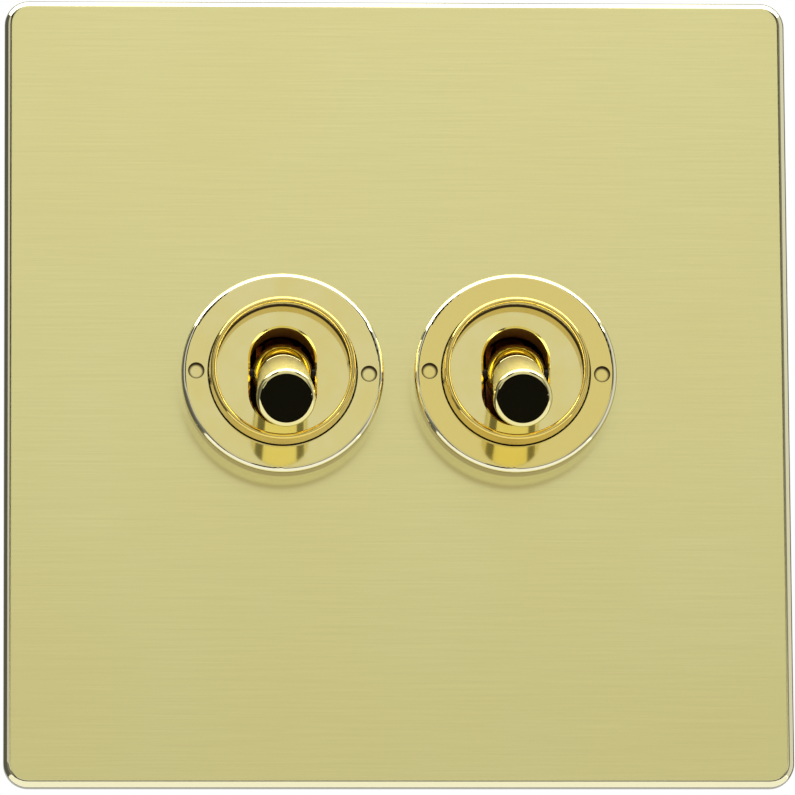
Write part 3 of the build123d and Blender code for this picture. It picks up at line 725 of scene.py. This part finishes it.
# %% Fixing screws
fixing_head = {"radius": 3.4 * MM, "height": 1.8 * MM, "slot_width": 1.0 * MM, "slot_depth": 0.9 * MM,
               "edge_round": 0.5 * MM}
low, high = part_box("fixing_screws")
fixing_seat = low.y + fixing_head["height"]
yoke_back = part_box("mounting_yoke")[1].y
fixing_waist = {"radius": 1.6 * MM, "length": yoke_back - fixing_seat + 0.1 * MM}
fixing_thread = {"crest": 1.74 * MM, "root": 1.40 * MM, "pitch": 0.6 * MM, "top": fixing_seat - yoke_back,
                 "reach": high.y - fixing_seat}
fixing_rise = (low.z + high.z) / 2
fixing_places = [(Vector((x, fixing_seat, fixing_rise)), (0, -1, 0), math.radians(turn))
                 for x, turn in ((low.x + fixing_head["radius"], 20), (high.x - fixing_head["radius"], 65))]
screw_piece("threaded_fixing_screws", "fixing_screws", fixing_places, fixing_head, fixing_thread,
            fixing_waist)

# %% Terminal screws
clamp_head = {"radius": 2.1 * MM, "height": 1.4 * MM, "slot_width": 0.7 * MM, "slot_depth": 0.7 * MM,
              "edge_round": 0.3 * MM}
clamp_thread = {"crest": 1.24 * MM, "root": 0.98 * MM, "pitch": 0.5 * MM, "top": 0.1 * MM,
                "reach": 3.0 * MM}
for side in ("left", "right"):
    low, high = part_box(side + "_terminal_screws")
    outward = -1 if side == "left" else 1
    head_x = (low.x if side == "left" else high.x) - outward * clamp_head["height"]
    clamp_y = (low.y + high.y) / 2
    middle_z = (low.z + high.z) / 2
    block_low, block_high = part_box(side + "_upper_terminal")
    upper_x = (block_low.x + block_high.x) / 2
    clamp_places = [
        (Vector((head_x, clamp_y, middle_z)), (outward, 0, 0), math.radians(35)),
        (Vector((upper_x, clamp_y, high.z - clamp_head["height"])), (0, 0, 1), math.radians(80)),
        (Vector((upper_x, clamp_y, low.z + clamp_head["height"])), (0, 0, -1), math.radians(10)),
    ]
    screw_piece(side + "_clamp_screws", side + "_terminal_screws", clamp_places, clamp_head, clamp_thread)

# %% Earth screw
low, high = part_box("earth_screw")
earth_place = (Vector(((low.x + high.x) / 2, (low.y + high.y) / 2, low.z + clamp_head["height"])),
               (0, 0, -1), math.radians(50))
screw_piece("earth_clamp_screw", "earth_screw", [earth_place], clamp_head, clamp_thread)

# %% [markdown]
# ## Plunger springs
#
# A small coil spring in each dolly's hollow tail pushes the plunger onto the rocking contact. The solid
# spring is stiff, but the real one gets shorter when the plunger is pushed in. Here the wire is wound as
# a mesh, a circle spun round the lever's axis from the bottom of its bore, and it moves with the lever.

# %% Wound wire
wire_radius = 0.2 * MM
coil_radius = 1.05 * MM
coil_turns = 5.5
coil_steps = 132
wire_segments = 12
wire_crease = math.radians(50)
bore_start = 3.2 * MM
bore_end = 8.1 * MM
coil_length = bore_end - bore_start - 2 * wire_radius
lever_axis = Vector((0, math.cos(lever_tilt), math.sin(lever_tilt)))
for side in ("left", "right"):
    pin_low, pin_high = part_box(side + "_pivot_pin")
    bore_bottom = (pin_low + pin_high) / 2 + bore_start * lever_axis
    shape = bmesh.new()
    bmesh.ops.create_circle(
        shape, cap_ends=False, segments=wire_segments, radius=wire_radius,
        matrix=Matrix.Translation((coil_radius, 0, wire_radius)) @ Matrix.Rotation(math.pi / 2, 4, "X"))
    bmesh.ops.spin(shape, geom=shape.verts[:] + shape.edges[:], cent=(0, 0, 0), axis=(0, 0, 1),
                   angle=math.tau * coil_turns, dvec=(0, 0, coil_length / coil_steps), steps=coil_steps)
    bmesh.ops.holes_fill(shape, edges=[edge for edge in shape.edges if edge.is_boundary], sides=0)
    bmesh.ops.recalc_face_normals(shape, faces=shape.faces[:])
    facing = lever_axis.to_track_quat("Z", "Y")
    bmesh.ops.transform(shape, matrix=Matrix.LocRotScale(bore_bottom, facing, None), verts=shape.verts[:])
    mesh = bpy.data.meshes.new(side + "_coil_spring")
    open_edges = sum(not edge.is_manifold for edge in shape.edges)
    shape.to_mesh(mesh)
    shape.free()
    mesh.shade_smooth()
    mesh.set_sharp_from_angle(angle=wire_crease)
    mesh.materials.append(bright_steel)
    spring = bpy.data.objects.new(side + "_coil_spring", mesh)
    bpy.context.scene.collection.objects.link(spring)
    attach(spring, side + "_lever")
    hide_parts(side + "_plunger_spring")
    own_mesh(spring)
    print(spring.name, "has", len(mesh.polygons), "faces and", open_edges, "open edges")
